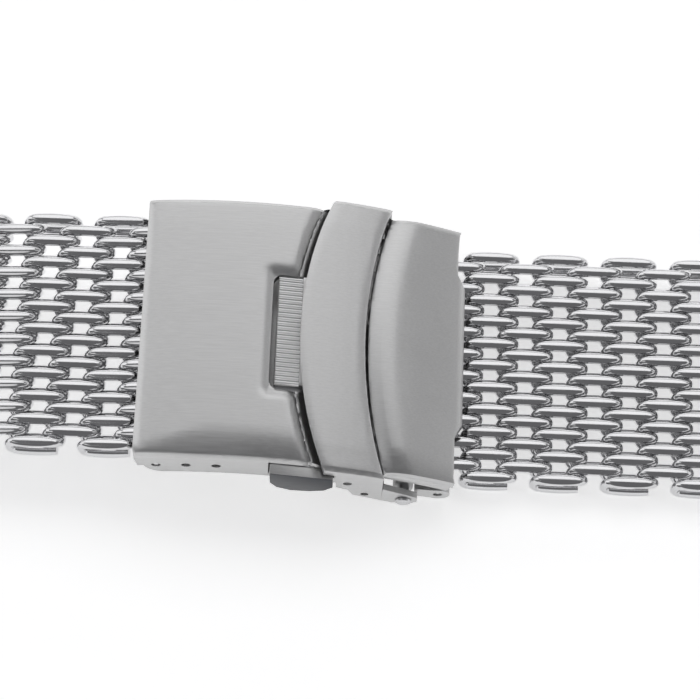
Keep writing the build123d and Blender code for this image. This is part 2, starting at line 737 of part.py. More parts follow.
def end_piece():
    """End piece at a watch lug, in the last coil's own place, opening towards the coil."""
    outline = side(
        [
            (END_LIP, MESH_HALF),
            (LUG_BAR_X, MESH_HALF),
            (LUG_BAR_X, -MESH_HALF),
            (END_LIP, -MESH_HALF),
            (END_LIP, -MESH_HALF + END_LIP - LOOP_CLEAR),
            (LOOP_END, -MESH_HALF + WIRE_THICK),
            (LOOP_END, MESH_HALF - WIRE_THICK),
            (END_LIP, MESH_HALF - END_LIP + LOOP_CLEAR),
        ]
    )
    block = across(outline + facets((LUG_BAR_X, 0), MESH_HALF, 16), -END_HALF, END_HALF)
    return block - bore((LUG_BAR_X, 0), LUG_BAR[0] + BAR_PLAY, -END_HALF - 1, END_HALF + 1)


def lying(place, shape, mirrored=False):
    """Carries a shape drawn about a coil's centre to where that coil lies."""
    x, z, slope = place
    turn = 180 if mirrored else 0
    return Pos(x, 0, z) * Rot(0, slope, 0) * Rot(0, 0, turn) * shape


nodes = {}
nodes["cover"] = cover()
nodes["catch_bracket"] = catch_bracket()
nodes["safety_bow"] = safety_bow()
nodes["bow_rivets"] = bow_rivets()
nodes["button_front"] = button()
nodes["button_spring_front"] = button_spring()
nodes["upper_blade"] = upper_blade()
nodes["lower_blade"] = lower_blade()
nodes["latch_stud"] = latch_stud()
nodes["fold_pin_cover"] = rod(FOLD_RIGHT, PIN, -LUG_OUT, LUG_OUT)
nodes["fold_pin_blades"] = rod(FOLD_LEFT, PIN, -UPPER_HALF, UPPER_HALF)

right = right_places()
left = left_places()
full_coil = wire_solid(full_coil_stations())
nested_coil = wire_solid(nested_coil_stations())
for half, places in (("left", left), ("right", right)):
    for count, place in enumerate(places, start=1):
        coil = nested_coil if count % 2 else full_coil
        nodes[f"{half}_coil_{count:02d}"] = lying(place, coil)
    mirrored = half == "left"
    nodes[f"{half}_end_piece"] = lying(places[-1], end_piece(), mirrored)

adjust_bar = on_bend(HOLE_ANGLES[0], BAR_DEPTH)
bars = {
    "adjust_bar": ((0, 0, 0), adjust_bar, THIN_BAR, 10.95, COVER_HALF - 0.05, False),
    "end_bar": ((0, 0, 0), END_BAR, THIN_BAR, 10.9, EAR_OUT - 0.1, False),
    "left_lug_bar": (left[-1], (LUG_BAR_X, 0), LUG_BAR, 10.75, LUG_REACH, True),
    "right_lug_bar": (right[-1], (LUG_BAR_X, 0), LUG_BAR, 10.75, LUG_REACH, False),
}
for name, (place, centre, sizes, half, reach, mirrored) in bars.items():
    front = 1 if mirrored else -1
    pieces = {
        f"{name}_tube": bar_tube(centre, sizes, half),
        f"{name}_tip_front": bar_tip(centre, sizes, half, reach, front),
        f"{name}_tip_back": bar_tip(centre, sizes, half, reach, -front),
        f"{name}_spring": bar_spring(centre, sizes, half),
    }
    for piece, shape in pieces.items():
        nodes[piece] = lying(place, shape, mirrored)

# centre the strap's length on X = 0 and set it on the table
left_end = nodes["left_end_piece"].bounding_box().min.X
right_end = nodes["right_end_piece"].bounding_box().max.X
to_table = Pos(-(left_end + right_end) / 2, 0, -TABLE)

os.makedirs("parts", exist_ok=True)
for name, shape in nodes.items():
    export_step(to_table * shape, f"parts/{name}.step")

print("nodes", len(nodes), "length %.2f" % (right_end - left_end))
print("moved by %.4f %.4f" % (-(left_end + right_end) / 2, -TABLE))
print("least slack between neighbouring wires %.2f" % (2 * LOOP_CLEAR - COLUMN))
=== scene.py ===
# %% [markdown]
# # A woven steel watch strap with a fold-over clasp
#
# The strap is wound from round steel wire. Each column of links is one long coil, hooked through
# the coils on either side of it, and the whole mat is then ground and polished on both faces. A
# pressed steel clasp joins the two halves. The scene is built in metres in the frame of the
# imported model, so every piece sits where the model says. This first cell loads that frame and
# keeps the model's box.

import bmesh
import bpy
import json
from math import atan2, cos, hypot, pi, radians, sin, sqrt
from mathutils import Matrix, Vector

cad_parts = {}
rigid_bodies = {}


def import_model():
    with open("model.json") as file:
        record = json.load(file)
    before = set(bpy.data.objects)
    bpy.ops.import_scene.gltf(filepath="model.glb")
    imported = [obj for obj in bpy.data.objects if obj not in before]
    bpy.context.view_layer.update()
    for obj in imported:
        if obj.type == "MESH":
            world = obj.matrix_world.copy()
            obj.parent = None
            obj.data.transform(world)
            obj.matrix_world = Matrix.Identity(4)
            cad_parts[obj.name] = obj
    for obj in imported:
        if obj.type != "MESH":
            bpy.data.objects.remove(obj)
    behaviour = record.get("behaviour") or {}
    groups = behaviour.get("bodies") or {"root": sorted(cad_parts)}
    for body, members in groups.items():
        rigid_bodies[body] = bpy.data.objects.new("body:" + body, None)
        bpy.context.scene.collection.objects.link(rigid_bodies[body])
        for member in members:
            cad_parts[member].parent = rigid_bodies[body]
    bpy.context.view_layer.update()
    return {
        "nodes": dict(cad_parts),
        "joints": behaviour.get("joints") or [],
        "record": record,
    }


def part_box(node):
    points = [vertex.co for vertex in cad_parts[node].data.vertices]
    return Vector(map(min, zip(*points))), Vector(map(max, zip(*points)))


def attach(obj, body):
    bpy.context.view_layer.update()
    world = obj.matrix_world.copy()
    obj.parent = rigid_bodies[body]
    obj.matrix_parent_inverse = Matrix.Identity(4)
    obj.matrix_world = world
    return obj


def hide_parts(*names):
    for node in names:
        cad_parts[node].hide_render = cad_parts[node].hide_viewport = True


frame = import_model()
MM = 0.001
joints = {joint["name"]: joint for joint in frame["joints"]}
bodies = frame["record"]["behaviour"]["bodies"]
body_of = {node: body for body, nodes in bodies.items() for node in nodes}

# %% [markdown]
# The clasp's cover is sheet bent round an axis far below it, and its sizes are easiest to give
# from that axis. One helper carries such a point, in millimetres, into the frame. The numbers are
# the clasp's own: where its axis lies and how far from it the cover's top is.

# %% The clasp's own measures
AXIS_X, AXIS_Z = -7.8267, -33.175
BEND = 42.5


def at(x, y, z):
    """A point given from the clasp's axis in millimetres, as a place in the frame in metres."""
    return Vector(((x + AXIS_X) * MM, y * MM, (z + AXIS_Z) * MM))


print("top of the clasp", round(at(0, 0, BEND).z, 5))

# %% [markdown]
# ## Camera
#
# The picture is taken from in front of the strap and well above it, with a long lens that keeps
# the clasp's edges nearly parallel. Three directions turn the camera: right, down and away. One
# known point of the clasp, the near left corner of its top, then says where the camera stands,
# because that corner has its own place in the picture and the scale there gives the distance.

# %% Camera
PICTURE = 700
FOCAL = 2600
SCALE = 11.78
SENSOR = 36
NEAREST, FARTHEST = 0.01, 20
corner = at(-6.65, -12.0, 41.4)
corner_u, corner_v = 131.5, 457.5

away = Vector((0.0, 0.3745, -0.9277)).normalized()
right = Vector((0.9992, 0.0360, 0.0145))
right = (right - right.dot(away) * away).normalized()
down = away.cross(right)

camera = bpy.data.objects.new("camera", bpy.data.cameras.new("camera"))
bpy.context.scene.collection.objects.link(camera)
camera.data.sensor_width = SENSOR
camera.data.lens = SENSOR * FOCAL / PICTURE
camera.data.clip_start = NEAREST
camera.data.clip_end = FARTHEST
aside = (corner_u - PICTURE / 2) / FOCAL * right + (corner_v - PICTURE / 2) / FOCAL * down
camera.location = corner - FOCAL / SCALE * MM * (aside + away)
camera.rotation_euler = Matrix((right, -down, -away)).transposed().to_euler()
bpy.context.scene.camera = camera
bpy.context.scene.view_settings.view_transform = "Standard"
print("camera at", [round(value, 3) for value in camera.location])

# %% [markdown]
# ## Studio
#
# Steel has hardly a colour of its own: it shows what stands round it. So the studio matters more
# than the paint. The strap lies in a wide white bowl, a floor whose rim rises all round. A large
# soft box high at the back is what the clasp's level top reflects, and a low one behind it and
# one at the left draw the bright line along the back of every wire. A small one above fills what
# faces left. Overhead and in front it stays dark, and the faces that lean forward look into that.


# %% Helpers for meshes and plain materials
def linked(name, data):
    """An object at the origin that shows a mesh, or holds a lamp, in the scene."""
    piece = bpy.data.objects.new(name, data)
    bpy.context.scene.collection.objects.link(piece)
    return piece


def new_piece(name, points, faces, material):
    """A smooth mesh object, from points in the frame in metres."""
    mesh = bpy.data.meshes.new(name)
    mesh.from_pydata([tuple(point) for point in points], [], faces)
    mesh.polygons.foreach_set("use_smooth", [True] * len(mesh.polygons))
    mesh.update()
    mesh.materials.append(material)
    return linked(name, mesh)


def ring_faces(rings, sides, closed=False):
    """Four-sided faces between rings of points, each ring `sides` points long."""
    faces = []
    for ring in range(rings if closed else rings - 1):
        a, b = ring * sides, (ring + 1) % rings * sides
        faces += [(a + i, a + (i + 1) % sides, b + (i + 1) % sides, b + i) for i in range(sides)]
    return faces


def plain_material(name, colour, metallic, roughness):
    """A material and its Principled shader, plain values set on the shader's own sockets."""
    material = bpy.data.materials.new(name)
    material.use_nodes = True
    shader = material.node_tree.nodes["Principled BSDF"]
    shader.inputs["Base Color"].default_value = (*colour, 1)
    shader.inputs["Metallic"].default_value = metallic
    shader.inputs["Roughness"].default_value = roughness
    return material, shader


# %% [markdown]
# Materials and shapes are both made with trees of nodes below. Built by hand in the editor, a tree
# is a matter of dragging; in a script each node, value and link is a line. This small class makes
# those lines short: it adds a node, and sets or links whatever is handed to its inputs.


# %% A helper that adds nodes to a tree
class Tree:
    """Adds nodes to a tree and joins or sets what is handed to their inputs."""

    def __init__(self, tree):
        self.tree = tree

    def feed(self, socket, value):
        """Links another node's output to a socket, or sets the socket to a plain value."""
        if isinstance(value, bpy.types.NodeSocket):
            self.tree.links.new(value, socket)
        else:
            socket.default_value = value

    def add(self, kind, settings=None, **values):
        """A new node, with its settings and with what its named inputs are fed."""
        node = self.tree.nodes.new(kind)
        for key, value in (settings or {}).items():
            setattr(node, key, value)
        for key, value in values.items():
            self.feed(node.inputs[key.replace("_", " ")], value)
        return node

    def math(self, operation, *values):
        """The result of one operation on numbers."""
        node = self.add("ShaderNodeMath", {"operation": operation})
        for socket, value in zip(node.inputs, values):
            self.feed(socket, value)
        return node.outputs[0]

    def vector(self, operation, *values, **scale):
        """The result of one operation on directions."""
        node = self.add("ShaderNodeVectorMath", {"operation": operation}, **scale)
        for socket, value in zip(node.inputs, values):
            self.feed(socket, value)
        return node.outputs["Value" if operation == "DOT_PRODUCT" else "Vector"]

    def part(self, name, vector):
        """One of the three numbers of a vector."""
        return self.add("ShaderNodeSeparateXYZ", Vector=vector).outputs[name]

    def keep(self, geometry, *fields):
        """Remembers at each point what these fields say there; the first output is the geometry."""
        node = self.add("GeometryNodeCaptureAttribute", Geometry=geometry)
        for count, kind in enumerate(fields):
            source = self.add(kind).outputs[0]
            kept = "FLOAT" if source.type == "VALUE" else "VECTOR"
            node.capture_items.new(kept, f"field {count}")
            self.tree.links.new(source, node.inputs[1 + count])
        return [node.outputs[1 + count] for count in range(len(fields))]

    def paint(self, geometry, material, wanted):
        """The end of every tree that makes a shape: smooth faces, real geometry, one material."""
        smooth = self.add("GeometryNodeSetShadeSmooth", {"domain": "FACE"}, Geometry=geometry)
        real = self.add("GeometryNodeRealizeInstances", Geometry=smooth.outputs[0])
        painted = self.add("GeometryNodeSetMaterial", Geometry=real.outputs[0], Material=material)
        self.tree.links.new(painted.outputs[0], wanted.inputs["Geometry"])
        print(self.tree.name, len(self.tree.nodes), "nodes")


# %% [markdown]
# The floor is white paper. It is lit by the lamps and keeps the strap's shadow, and for the
# camera and for reflections it also glows a little, so that it reaches the plain white of a
# product picture without more light on the steel. The Light Path node tells those rays apart from
# the ones that carry light.

# %% Floor
PAPER = (0.92, 0.92, 0.92)
PAPER_GLOW = 0.54
SWEEP = [(0.001, 0.0), (0.3, 0.0), (1.2, 0.0), (1.4, 0.03), (1.55, 0.12), (1.65, 0.3), (1.7, 0.55)]
SWEEP_SIDES = 64
UNDER_STRAP = 0.0001

paper, shader = plain_material("white_paper", PAPER, 0.0, 0.9)
t = Tree(paper.node_tree)
path = t.add("ShaderNodeLightPath")
seen = path.outputs["Is Camera Ray"]
for ray in ("Is Glossy Ray", "Is Transmission Ray"):
    seen = t.math("MAXIMUM", seen, path.outputs[ray])
shader.inputs["Emission Color"].default_value = (1, 1, 1, 1)
t.feed(shader.inputs["Emission Strength"], t.math("MULTIPLY", seen, PAPER_GLOW))

turns = [2 * pi * i / SWEEP_SIDES for i in range(SWEEP_SIDES)]
points = [
    (radius * cos(turn), radius * sin(turn), height - UNDER_STRAP)
    for radius, height in SWEEP
    for turn in turns
]
rings = ring_faces(len(SWEEP), SWEEP_SIDES)
floor = new_piece("floor", points, [tuple(range(SWEEP_SIDES))] + rings, paper)
print("floor rim at", SWEEP[-1])

# %% [markdown]
# The world is the rest of the room: what no lamp or floor covers. It is a dim, even grey, because
# a black one would leave hard black gaps in polished steel and a bright one would wash out its
# form.

# %% World
ROOM = (0.17, 0.17, 0.175, 1)
world = bpy.data.worlds.new("dim_room")
bpy.context.scene.world = world
world.use_nodes = True
background = world.node_tree.nodes["Background"]
background.inputs["Color"].default_value = ROOM
background.inputs["Strength"].default_value = 1.0
print("room", ROOM)

# %% [markdown]
# Area lamps are the soft boxes. Their glow as seen in a mirror is their power over their area, so
# a big box can be as bright as a small one and still throw softer light. Each is placed by where
# it shows in the steel: the reflection of a level, polished face leaves it steeply up and
# a little to the back.


# %% Soft boxes
def soft_box(name, place, size, glow):
    """A rectangular area lamp that faces the clasp, as bright as `glow` when seen in a mirror."""
    lamp = bpy.data.lights.new(name, "AREA")
    lamp.shape = "RECTANGLE"
    lamp.size, lamp.size_y = size
    lamp.energy = glow * pi * size[0] * size[1]
    box = linked(name, lamp)
    box.location = place
    box.rotation_euler = (-Vector(place)).to_track_quat("-Z", "Y").to_euler()


soft_box("box_behind", (0.1, 0.93, 1.32), (2.0, 1.0), 1.15)
soft_box("box_low", (0.0, 1.6, 0.5), (2.4, 0.5), 1.0)
soft_box("box_left", (-1.35, 0.55, 0.95), (1.0, 1.1), 1.1)
soft_box("box_above", (-0.78, -0.15, 1.42), (0.6, 0.8), 0.8)
soft_box("box_right", (1.5, 0.3, 1.0), (0.9, 0.8), 0.45)
soft_box("box_front", (0.0, -1.6, 0.7), (1.8, 0.5), 0.7)
print("soft boxes", len(bpy.data.lights))

# %% [markdown]
# ## Finishes
#
# Two effects are used by more than one finish, so each is a group of nodes with its own values in
# every material. The streaks group is noise drawn out along one direction until it is a fine
# scratch: belt marks on sheet, rings on turned parts. The handling group is a soft, blotchy value
# that breaks up a polish as fingers do. Both read the piece's own coordinates, so they stay put
# when a part moves.


# %% Groups of nodes
def new_group(name, kind, takes, gives):
    """A node group with named inputs, each with its kind and its value, and named outputs."""
    group = bpy.data.node_groups.new(name, kind)
    for socket, how, value in takes:
        made = group.interface.new_socket(socket, in_out="INPUT", socket_type=how)
        if value is not None:
            made.default_value = value
    for socket, how in gives:
        group.interface.new_socket(socket, in_out="OUTPUT", socket_type=how)
    return group, group.nodes.new("NodeGroupInput"), group.nodes.new("NodeGroupOutput")


FLOAT, VECTOR, INT = "NodeSocketFloat", "NodeSocketVector", "NodeSocketInt"
GEOMETRY = [("Geometry", "NodeSocketGeometry")]

# %% [markdown]
# The streaks could be painted as an image, but a noise that is stretched needs no picture and is
# as fine as one likes. The piece's place is multiplied by a stretch, small along the marks and
# large across them, before the noise reads it. A second, unstretched noise makes some areas more
# worn.


# %% Streaks: belt marks and turning rings
def between(t, value, start, end, given):
    """A value led from its own range to the one between the group's Low and High."""
    ranged = t.add("ShaderNodeMapRange", Value=value, From_Min=start, From_Max=end)
    t.feed(ranged.inputs["To Min"], given.outputs["Low"])
    t.feed(ranged.inputs["To Max"], given.outputs["High"])
    return ranged.outputs["Result"]


streaks, given, wanted = new_group(
    "streaks",
    "ShaderNodeTree",
    [("Stretch", VECTOR, (300.0, 9000.0, 9000.0)), ("Low", FLOAT, 0.3), ("High", FLOAT, 0.4)],
    [("Roughness", FLOAT), ("Height", FLOAT), ("Shade", FLOAT)],
)
t = Tree(streaks)
here = t.add("ShaderNodeTexCoord").outputs["Object"]
drawn_out = t.vector("MULTIPLY", here, given.outputs["Stretch"])
scratches = t.add("ShaderNodeTexNoise", Vector=drawn_out, Scale=1.0, Detail=5.0, Roughness=0.7)
uneven = t.add("ShaderNodeTexNoise", Vector=here, Scale=220.0, Detail=2.0)
shade = t.math("MULTIPLY_ADD", uneven.outputs["Fac"], 0.25, scratches.outputs["Fac"])
t.feed(wanted.inputs["Roughness"], between(t, shade, 0.4, 0.85, given))
t.feed(wanted.inputs["Height"], scratches.outputs["Fac"])
t.feed(wanted.inputs["Shade"], shade)
print("streaks", len(streaks.nodes), "nodes")

# %% [markdown]
# Handling is one noise of middling size, turned into a roughness between a low and a high value.
# Polish that is equally smooth everywhere looks like plastic; a little unevenness is what makes
# it metal.

# %% Handling: the blotches of a worn polish
handling, given, wanted = new_group(
    "handling",
    "ShaderNodeTree",
    [("Size", FLOAT, 400.0), ("Low", FLOAT, 0.1), ("High", FLOAT, 0.2)],
    [("Roughness", FLOAT), ("Height", FLOAT)],
)
t = Tree(handling)
here = t.add("ShaderNodeTexCoord").outputs["Object"]
blotches = t.add("ShaderNodeTexNoise", Vector=here, Scale=given.outputs["Size"], Detail=3.0)
t.feed(wanted.inputs["Roughness"], between(t, blotches.outputs["Fac"], 0.3, 0.7, given))
t.feed(wanted.inputs["Height"], blotches.outputs["Fac"])
print("handling", len(handling.nodes), "nodes")

# %% [markdown]
# Satin steel is rubbed along the strap with an abrasive belt: its streaks run along X, roughen it
# unevenly and stand as a very low relief. Turned steel has the same marks as rings round its
# axis, so it is the same group stretched another way. Polished wire has no direction, only
# handling.

# %% Streaked and polished steel
MARK_DEPTH = 0.00003
WEAR_DEPTH = 0.00005
DARKER, LIGHTER = 0.9, 1.08


def raised(t, height, strength, depth):
    """A height as a normal for the shader, through a Bump node."""
    return t.add("ShaderNodeBump", Height=height, Strength=strength, Distance=depth).outputs[0]


def streaked_steel(name, colour, low, high, stretch=(300, 9000, 9000), relief=0.05):
    """Steel with fine marks in one direction, which shade it, roughen it and stand up a little."""
    material, shader = plain_material(name, colour, 1.0, high)
    t = Tree(material.node_tree)
    marks = t.add("ShaderNodeGroup", {"node_tree": streaks}, Stretch=stretch, Low=low, High=high)
    tint = t.add("ShaderNodeValToRGB", Fac=marks.outputs["Shade"])
    worn, bright = tint.color_ramp.elements
    worn.position, bright.position = 0.4, 0.85
    worn.color = (*[part * DARKER for part in colour], 1)
    bright.color = (*[min(1, part * LIGHTER) for part in colour], 1)
    t.feed(shader.inputs["Roughness"], marks.outputs["Roughness"])
    t.feed(shader.inputs["Base Color"], tint.outputs["Color"])
    t.feed(shader.inputs["Normal"], raised(t, marks.outputs["Height"], relief, MARK_DEPTH))
    return material


def polished_steel(name, colour, low, high, size=500.0):
    """Steel with a polish that handling has dulled in places."""
    material, shader = plain_material(name, colour, 1.0, high)
    t = Tree(material.node_tree)
    wear = t.add("ShaderNodeGroup", {"node_tree": handling}, Size=size, Low=low, High=high)
    t.feed(shader.inputs["Roughness"], wear.outputs["Roughness"])
    t.feed(shader.inputs["Normal"], raised(t, wear.outputs["Height"], 0.03, WEAR_DEPTH))
    return material


satin = streaked_steel("satin_steel", (0.575, 0.575, 0.575), 0.34, 0.44, relief=0.06)
wire_polish = polished_steel("polished_wire", (0.64, 0.64, 0.65), 0.08, 0.17)
ringed = streaked_steel("turned_steel", (0.62, 0.62, 0.63), 0.22, 0.34, (600, 30000, 600), 0.04)
spring_finish = polished_steel("spring_steel", (0.42, 0.43, 0.46), 0.2, 0.32)
rib_finish = polished_steel("rib_steel", (0.97, 0.97, 0.97), 0.28, 0.38)
# A near-black steel that paints shade and a dark reflection onto the button's front face.
painted_shade_face = streaked_steel("dark_button_face", (0.05, 0.053, 0.06), 0.3, 0.42)
print("materials", [material.name for material in bpy.data.materials])

# %% [markdown]
# ## The woven coils
#
# On the real strap a machine winds each coil on a flat blade, so that its turns are long loops
# with round ends, and screws it into the coil before it. The loops could be modelled one by one,
# but the coil is one wire and follows a rule: over the top, down the end while it moves half a
# turn along, back underneath. Geometry Nodes follow such a rule well. The tree numbers the
# corners of the path and sets each by its number, rounds them, bows the runs, and draws a round
# wire along the path. Grinding is the last step: no part of the wire may stand above the grinding
# height, which leaves a long pointed flat on each run, as on the real wire.

# %% The wire's sizes, in millimetres
PITCH = 2.1  # from one turn of a coil to the next
TURNS = 11  # turns of a full coil
COLUMN = 3.1  # from one coil to the next
LOOP_HALF = 2.2  # from the middle of a loop to its round end
LOOP_CLEAR = 1.825  # from the middle of a loop to the cut end of the wire
CORNER_HIGH = 0.855  # from the middle of the mesh to the wire's middle at a corner
CORNER_ROUND = 0.58  # how round the corners are
BOW = 0.19  # how far a run arches above its corners
MESH_HALF = 1.325  # from the middle of the mesh to its ground faces
WIRE = 0.48  # half the thickness of the wire in the runs
WIRE_AT_ENDS = 0.385  # the same in the round ends, where the next coil hooks in
BAR_TO_MIDDLE = 1.255  # from a sprung bar to the middle of the coil on it
RING_POINTS = 22  # points round the wire
FLAT_POINTS = 3  # how many of them are on the flat, on either side of its middle
COILS = sum(node.startswith("left_coil_") for node in frame["nodes"])
print("coils a side", COILS)

# %% [markdown]
# First the path. A coil seen from its end is a long loop with four corners: bottom right, bottom
# left, top left and top right in turn. A corner's number gives its turn and its place in that
# turn, and those give its three coordinates. A line of points with nothing else on it is then
# moved to those places.

# %% The tree that winds a coil: its inputs and the corners of its path
winding, given, wanted = new_group(
    "wound_coil",
    "GeometryNodeTree",
    [
        ("Corners", INT, 46),
        ("First corner", INT, 0),
        ("Shift", FLOAT, 0.0),
        ("Trim", FLOAT, 0.3 * MM),
        ("Pitch", FLOAT, PITCH * MM),
        ("Turns", INT, TURNS),
        ("Half length", FLOAT, LOOP_HALF * MM),
        ("Corner height", FLOAT, CORNER_HIGH * MM),
        ("Corner radius", FLOAT, CORNER_ROUND * MM),
        ("Bow", FLOAT, BOW * MM),
        ("Wire radius", FLOAT, WIRE * MM),
        ("Radius at ends", FLOAT, WIRE_AT_ENDS * MM),
        ("Ground height", FLOAT, MESH_HALF * MM),
        ("Facet tilt", FLOAT, radians(1)),
        ("Facet crown", FLOAT, 0.45 / MM),
        ("Step", FLOAT, 0.26 * MM),
        ("Material", "NodeSocketMaterial", None),
    ],
    GEOMETRY,
)
take = given.outputs
t = Tree(winding)
number = t.math("ADD", t.add("GeometryNodeInputIndex").outputs[0], take["First corner"])
turn = t.math("FLOOR", t.math("DIVIDE", number, 4.0))
place_in_turn = t.math("SUBTRACT", number, t.math("MULTIPLY", turn, 4.0))
from_middle = t.math("SUBTRACT", place_in_turn, 1.5)
end_x = t.math("SIGN", t.math("SUBTRACT", t.math("ABSOLUTE", from_middle), 1.0))
top_z = t.math("SIGN", from_middle)
half_turn = t.math("DIVIDE", t.math("SUBTRACT", 1.0, top_z), 4.0)
turned_along = t.math("MULTIPLY", t.math("SUBTRACT", turn, half_turn), take["Pitch"])
across = t.math("ADD", turned_along, take["Shift"])
width = t.math("MULTIPLY", t.math("SUBTRACT", take["Turns"], 1.0), take["Pitch"])
across = t.math("MINIMUM", t.math("MAXIMUM", across, 0.0), width)
corner_place = t.add(
    "ShaderNodeCombineXYZ",
    X=t.math("MULTIPLY", end_x, take["Half length"]),
    Y=t.math("SUBTRACT", across, t.math("MULTIPLY", width, 0.5)),
    Z=t.math("MULTIPLY", top_z, take["Corner height"]),
)
line = t.add("GeometryNodeMeshLine", Count=take["Corners"])
placed = t.add("GeometryNodeSetPosition", Geometry=line.outputs[0])
t.feed(placed.inputs["Position"], corner_place.outputs[0])
path = t.add("GeometryNodeMeshToCurve", Mesh=placed.outputs[0])
print("corners of a full coil", 4 * TURNS + 2)

# %% [markdown]
# The cut ends are shortened, the corners are filleted to the radius of the real bend, and the
# path is cut into even steps. The long runs are arched a little, highest in the middle, because
# wire springs back off its blade. The arch fades to nothing at the ends, where the next coil
# hooks in.

# %% Trimmed ends, rounded corners and bowed runs
whole = t.add("GeometryNodeCurveLength", Curve=path.outputs[0])
trimmed = t.add("GeometryNodeTrimCurve", {"mode": "LENGTH"}, Curve=path.outputs[0])
t.feed(trimmed.inputs[4], take["Trim"])
t.feed(trimmed.inputs[5], t.math("SUBTRACT", whole.outputs[0], take["Trim"]))
rounded = t.add("GeometryNodeFilletCurve", {"mode": "POLY"}, Curve=trimmed.outputs[0], Count=8)
t.feed(rounded.inputs["Radius"], take["Corner radius"])
rounded.inputs["Limit Radius"].default_value = True
even = t.add("GeometryNodeResampleCurve", {"mode": "LENGTH"}, Curve=rounded.outputs[0])
t.feed(even.inputs["Length"], take["Step"])
spot = t.add("GeometryNodeInputPosition").outputs[0]
out = t.math("DIVIDE", t.part("X", spot), take["Half length"])
arch = t.math("MAXIMUM", t.math("SUBTRACT", 1.0, t.math("MULTIPLY", out, out)), 0.0)
which_side = t.math("DIVIDE", t.part("Z", spot), take["Corner height"])
lift = t.math("MULTIPLY", t.math("MULTIPLY", arch, take["Bow"]), which_side)
bowed = t.add("GeometryNodeSetPosition", Geometry=even.outputs[0])
t.feed(bowed.inputs["Offset"], t.add("ShaderNodeCombineXYZ", Z=lift).outputs[0])
print("path", len(winding.nodes), "nodes")

# %% [markdown]
# Each ring of the wire is laid out afresh, so that the edge of the flat falls on a line of points
# and stays crisp. Seven of its points share the flat, however wide it is there, and the rest
# share the round part. For that the middle and the direction of the wire, and each point's share
# of the ring, have to be remembered before the ring is drawn. The flats are a little crowned, as
# hand polishing leaves them, so each shows a light band and a dark one. The wire is a little
# thinner in its round ends, so that neighbours stay clear of each other when the strap bends.

# %% The wire itself, ground on both faces
profile = t.add("GeometryNodeCurvePrimitiveCircle", {"mode": "RADIUS"}, Resolution=RING_POINTS)
t.feed(profile.inputs["Radius"], take["Wire radius"])
middle, along = t.keep(bowed.outputs[0], "GeometryNodeInputPosition", "GeometryNodeInputTangent")
from_end = t.math("DIVIDE", t.part("X", middle), take["Half length"])
swell = t.math("MAXIMUM", t.math("SUBTRACT", 1.0, t.math("MULTIPLY", from_end, from_end)), 0.0)
taper = t.math("SUBTRACT", take["Wire radius"], take["Radius at ends"])
thick = t.math("ADD", take["Radius at ends"], t.math("MULTIPLY", swell, taper))
(share,) = t.keep(profile.outputs[0], "GeometryNodeSplineParameter")
wire = t.add("GeometryNodeCurveToMesh", Curve=middle.node.outputs[0], Fill_Caps=True)
t.feed(wire.inputs["Profile Curve"], share.node.outputs[0])

sideways = t.vector("DOT_PRODUCT", along, (0.0, 1.0, 0.0))
along_part = t.vector("SCALE", along, Scale=sideways)
side = t.vector("NORMALIZE", t.vector("SUBTRACT", (0.0, 1.0, 0.0), along_part))
outward = t.vector("CROSS_PRODUCT", along, side)
height = t.part("Z", middle)
level = t.math("MAXIMUM", t.math("DIVIDE", height, take["Corner height"]), 0.0)
level = t.math("MINIMUM", level, 1.0)
tilt = t.math("MULTIPLY", level, take["Facet tilt"])
print("path and wire", len(winding.nodes), "nodes")

# %% [markdown]
# How wide the flat is follows from how high the wire stands there: where it doesn't reach the
# grinding height the ring is simply round. The angle of each point is stretched or squeezed so
# that the last of the seven always falls on the flat's edge, and the point is put at that angle.

# %% The ring with its flat
FLAT_SHARE = FLAT_POINTS * 2 * pi / RING_POINTS
NARROWEST = 0.3

reach = t.math("SUBTRACT", take["Ground height"], t.math("ABSOLUTE", height))
cut = t.math("MINIMUM", t.math("DIVIDE", reach, thick), 1.0)
flat = t.math("MAXIMUM", t.math("ARCCOSINE", cut), NARROWEST)
angle = t.math("MULTIPLY_ADD", share, 2 * pi, -pi)
size = t.math("ABSOLUTE", angle)
per_flat = t.math("DIVIDE", flat, FLAT_SHARE)
on_flat = t.math("MULTIPLY", t.math("MINIMUM", size, FLAT_SHARE), per_flat)
beyond = t.math("MAXIMUM", t.math("SUBTRACT", size, FLAT_SHARE), 0.0)
per_round = t.math("DIVIDE", t.math("SUBTRACT", pi, flat), pi - FLAT_SHARE)
spread_size = t.math("MULTIPLY_ADD", beyond, per_round, on_flat)
spread_angle = t.math("MULTIPLY", t.math("SIGN", angle), spread_size)
over = t.math("MULTIPLY", t.math("SINE", spread_angle), thick)
fall = t.math("MULTIPLY", t.math("MULTIPLY", over, over), take["Facet crown"])
crowned = t.math("SUBTRACT", reach, fall)
up = t.math("MINIMUM", t.math("MULTIPLY", t.math("COSINE", spread_angle), thick), crowned)
lean, stand = t.math("SINE", tilt), t.math("COSINE", tilt)
turned_up = t.math("ADD", t.math("MULTIPLY", up, stand), t.math("MULTIPLY", over, lean))
turned_over = t.math("SUBTRACT", t.math("MULTIPLY", over, stand), t.math("MULTIPLY", up, lean))
upward = t.vector("SCALE", outward, Scale=turned_up)
offset = t.vector("ADD", upward, t.vector("SCALE", side, Scale=turned_over))
ground = t.add("GeometryNodeSetPosition", Geometry=wire.outputs[0])
t.feed(ground.inputs["Position"], t.vector("ADD", middle, offset))
t.paint(ground.outputs[0], take["Material"], wanted)

# %% [markdown]
# A tree only works inside a modifier. This helper hands it to an empty object, sets its inputs by
# their identifiers, and keeps the plain mesh that comes out. The two kinds of coil differ in where
# the path begins and ends: the full ones run from edge to edge and are cut on the underside, the
# ones between them reach half a turn less far and are cut in the middle of a round end.

# %% Run a tree and keep its mesh
HARD_EDGE = radians(24)


